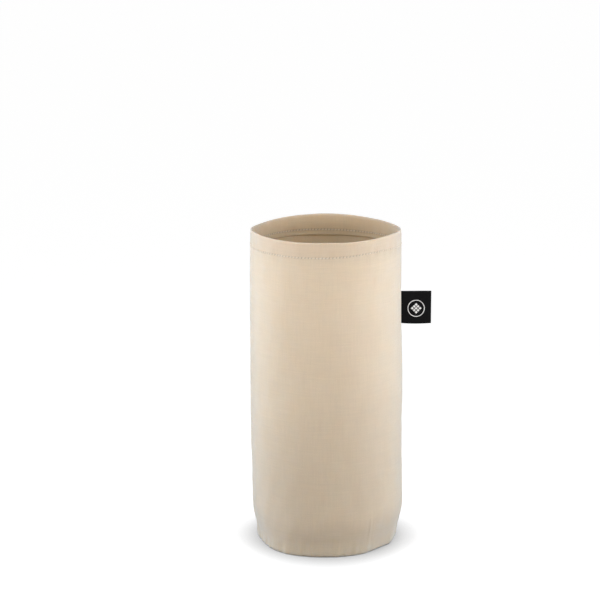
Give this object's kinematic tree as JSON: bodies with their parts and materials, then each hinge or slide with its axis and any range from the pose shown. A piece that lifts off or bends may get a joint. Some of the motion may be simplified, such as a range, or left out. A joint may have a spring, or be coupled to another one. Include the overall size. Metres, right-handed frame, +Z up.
{
  "type": "fabric grow bag",
  "caption": "Tall round fabric grow bag: rolled canvas wall with a stitched turned-in hem, sewn-in round base, bound inner seams and a small flag label that swings on the side seam.",
  "frame": {"origin": "middle of the round base, on the ground", "axes": "+Z up along the bag's axis; +X through the side seam and its flag label; the front faces -Y"},
  "size_m": [0.1792, 0.1506, 0.32],
  "materials": {
    "canvas": "stiff, closely woven sand-coloured canvas, matt with a faint fuzz",
    "binding_tape": "ribbed cotton tape, matt",
    "thread": "twisted polyester sewing thread, slight sheen",
    "label_ribbon": "black satin-woven ribbon, soft sheen",
    "label_mark": "white woven float threads"
  },
  "bodies": {
    "bag": {"wall_panel": "canvas", "base_panel": "canvas", "side_seam_binding": "binding_tape", "base_seam_binding": "binding_tape", "hem_needle_thread": "thread", "hem_bobbin_thread": "thread", "side_seam_needle_thread": "thread", "side_seam_bobbin_thread": "thread", "base_seam_needle_thread": "thread", "base_seam_bobbin_thread": "thread", "label_tail": "label_ribbon"},
    "label": {"label_flap": "label_ribbon"}
  },
  "joints": [
    {"name": "label_swing", "type": "hinge", "parent": "bag", "child": "label", "pos_m": [0.07575, 0, 0.2395], "axis": [0, 0, 1], "range_deg": [-75, 75], "stiffness_Nm_per_rad": 0.0004}
  ]
}
